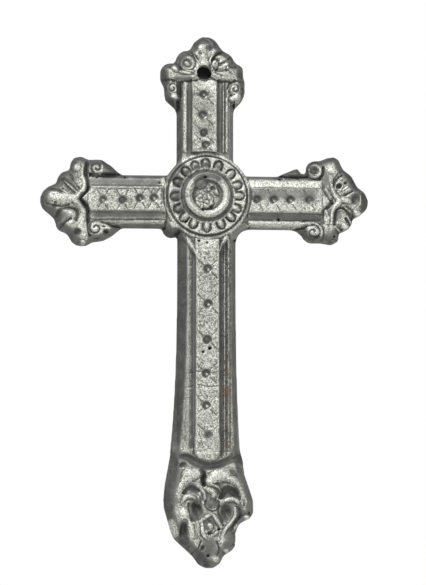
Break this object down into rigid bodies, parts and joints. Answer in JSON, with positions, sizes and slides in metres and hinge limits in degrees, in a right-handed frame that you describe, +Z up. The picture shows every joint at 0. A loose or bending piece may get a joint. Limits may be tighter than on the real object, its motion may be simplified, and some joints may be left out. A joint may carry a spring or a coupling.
{
  "type": "wall cross",
  "caption": "Flat-backed cast metal cross with shell ends, a round medallion and a leafed foot, hung by a nail hole.",
  "frame": {"origin": "on the flat back, where the axes of the shaft and the arms cross", "axes": "+Z up the shaft, +X to the right arm as seen from the front, the face towards -Y"},
  "size_m": [0.1351, 0.0098, 0.2198],
  "materials": {
    "silver_paint": "dull silver paint, darkened in the hollows"
  },
  "bodies": {
    "root": {"cross": "silver_paint"}
  },
  "joints": []
}
